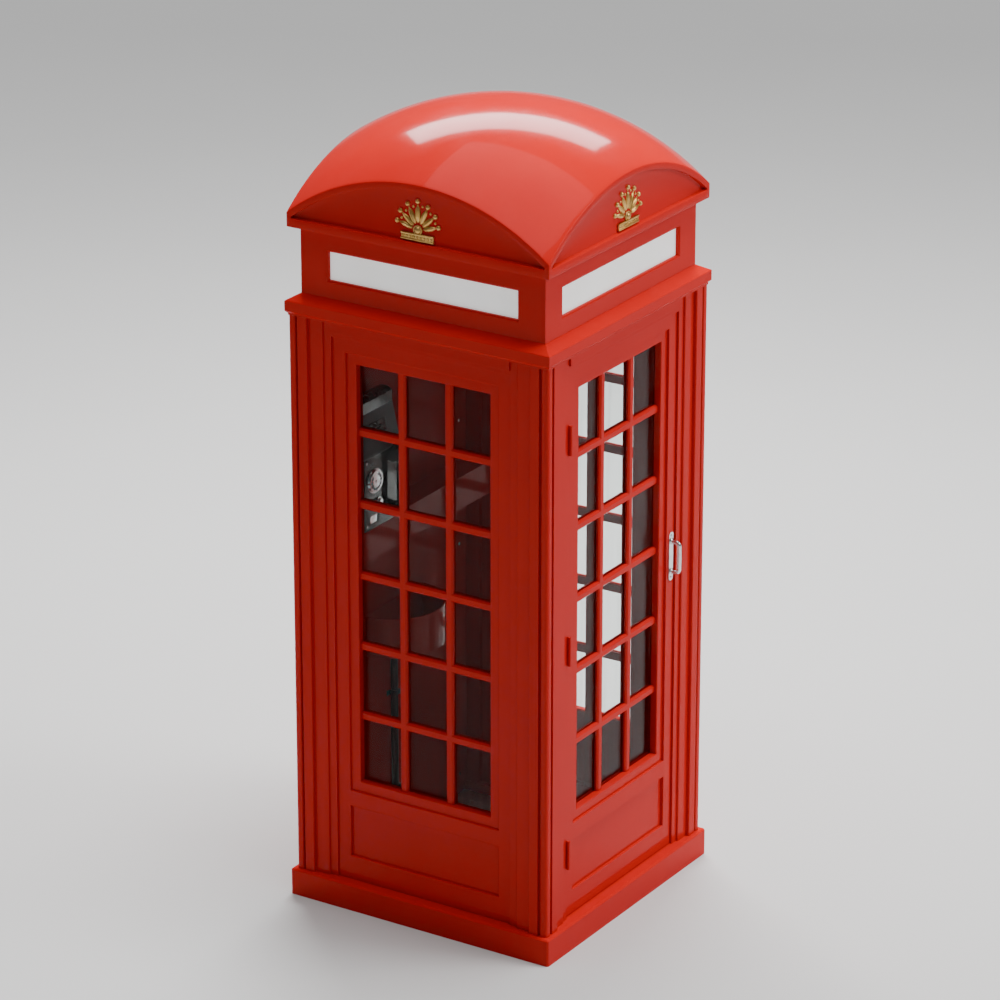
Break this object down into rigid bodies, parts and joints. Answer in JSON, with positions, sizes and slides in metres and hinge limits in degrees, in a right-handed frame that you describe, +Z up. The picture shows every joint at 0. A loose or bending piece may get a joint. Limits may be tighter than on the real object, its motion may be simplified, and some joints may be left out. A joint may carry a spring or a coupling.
{
  "type": "telephone booth",
  "caption": "Square red street telephone booth with a domed roof, small-paned glazing on the sides and a hinged door, and a coin telephone on the blind rear wall.",
  "frame": {"origin": "middle of the booth's base, on the ground", "axes": "+Z up; the door faces -Y with its hinges on the -X side; the telephone wall is at +Y"},
  "size_m": [1.016, 1.016, 2.717],
  "materials": {
    "red_iron": "deep gloss enamel on cast iron",
    "floor_concrete": "pale trowelled concrete",
    "clear_glass": "clear polished window glass",
    "red_timber": "gloss enamel on hardwood board",
    "door_timber": "deep gloss enamel on hardwood",
    "hinge_steel": "painted over with the door",
    "opal_glass": "white opal glass, opaque",
    "retainer_metal": "painted angle frame",
    "gilt": "gilded casting",
    "lamp_white": "white enamel",
    "lamp_glass": "frosted bulb",
    "conduit_black": "black tube",
    "phone_black": "polished black",
    "phone_grey": "grey satin",
    "phone_black_metal": "black enamel plate",
    "phone_chrome": "bright chrome plating",
    "pull_chrome": "bright chrome plating",
    "hook_grey": "worn steel"
  },
  "bodies": {
    "kiosk": {"plinth": "red_iron", "corner_post_front_left": "red_iron", "corner_post_front_right": "red_iron", "corner_post_rear_right": "red_iron", "corner_post_rear_left": "red_iron", "lintels": "red_iron", "rear_panel": "red_iron", "window_frame_left": "red_iron", "window_frame_right": "red_iron", "window_bars": "red_iron", "window_beads": "red_iron", "cornice": "red_iron", "frieze": "red_iron", "roof": "red_iron", "floor_slab": "floor_concrete", "window_glass": "clear_glass", "door_stops": "red_timber", "backboard": "red_timber", "ceiling_panel": "red_timber", "telephone_shelf": "red_iron", "directory_bin": "red_iron", "hinge_post_leaves": "hinge_steel", "hinge_pins": "hinge_steel", "sign_glasses": "opal_glass", "lamp_bowl": "opal_glass", "sign_retainers": "retainer_metal", "pediment_ornaments": "gilt", "lamp_base": "lamp_white", "lamp_bulb": "lamp_glass", "cable_conduit": "conduit_black", "conduit_straps": "conduit_black", "telephone_case": "phone_black", "telephone_hood": "phone_black", "telephone_front": "phone_grey", "coin_slot_plate": "phone_black_metal", "dial_plate": "phone_chrome", "button_bezels": "phone_chrome", "coin_flap_pin": "phone_chrome"},
    "door": {"door_hinge_stile": "door_timber", "door_lock_stile": "door_timber", "door_top_rail": "door_timber", "door_middle_rail": "door_timber", "door_bottom_rail": "door_timber", "door_panel": "door_timber", "door_glazing_frame": "door_timber", "door_bars": "red_iron", "door_beads": "red_iron", "door_glass": "clear_glass", "hinge_door_leaves": "hinge_steel", "pull_plate": "pull_chrome", "pull_screws": "pull_chrome", "pull_grip": "pull_chrome"},
    "dial": {"dial": "phone_chrome"},
    "hook": {"hook_lever": "hook_grey"},
    "handset": {"handset_grip": "phone_black", "handset_caps": "phone_black"},
    "button_a": {"button_a": "phone_chrome"},
    "button_b": {"button_b": "phone_chrome"},
    "flap": {"coin_flap": "phone_chrome"}
  },
  "joints": [
    {"name": "door_hinge", "type": "hinge", "parent": "kiosk", "child": "door", "pos_m": [-0.3375, -0.48, 1.05], "axis": [0, 0, -1], "range_deg": [0, 90]},
    {"name": "dial_turn", "type": "hinge", "parent": "kiosk", "child": "dial", "pos_m": [-0.323, 0.2717, 1.475], "axis": [0, 1, 0], "range_deg": [0, 270], "stiffness_Nm_per_rad": 0.01},
    {"name": "handset_lift", "type": "slide", "parent": "kiosk", "child": "handset", "axis": [0, 0, 1], "range_m": [0, 0.15]},
    {"name": "hook_lift", "type": "slide", "parent": "kiosk", "child": "hook", "axis": [0, 0, 1], "range_m": [0, 0.012]},
    {"name": "button_a_press", "type": "slide", "parent": "kiosk", "child": "button_a", "axis": [0, 1, 0], "range_m": [0, 0.006], "stiffness_N_per_m": 200},
    {"name": "button_b_press", "type": "slide", "parent": "kiosk", "child": "button_b", "axis": [0, 1, 0], "range_m": [0, 0.006], "stiffness_N_per_m": 200},
    {"name": "coin_flap_swing", "type": "hinge", "parent": "kiosk", "child": "flap", "pos_m": [-0.323, 0.2835, 1.353], "axis": [1, 0, 0], "range_deg": [0, 60]}
  ],
  "couplings": [
    {"joint": "hook_lift", "follows": "handset_lift", "ratio": 0.08}
  ]
}
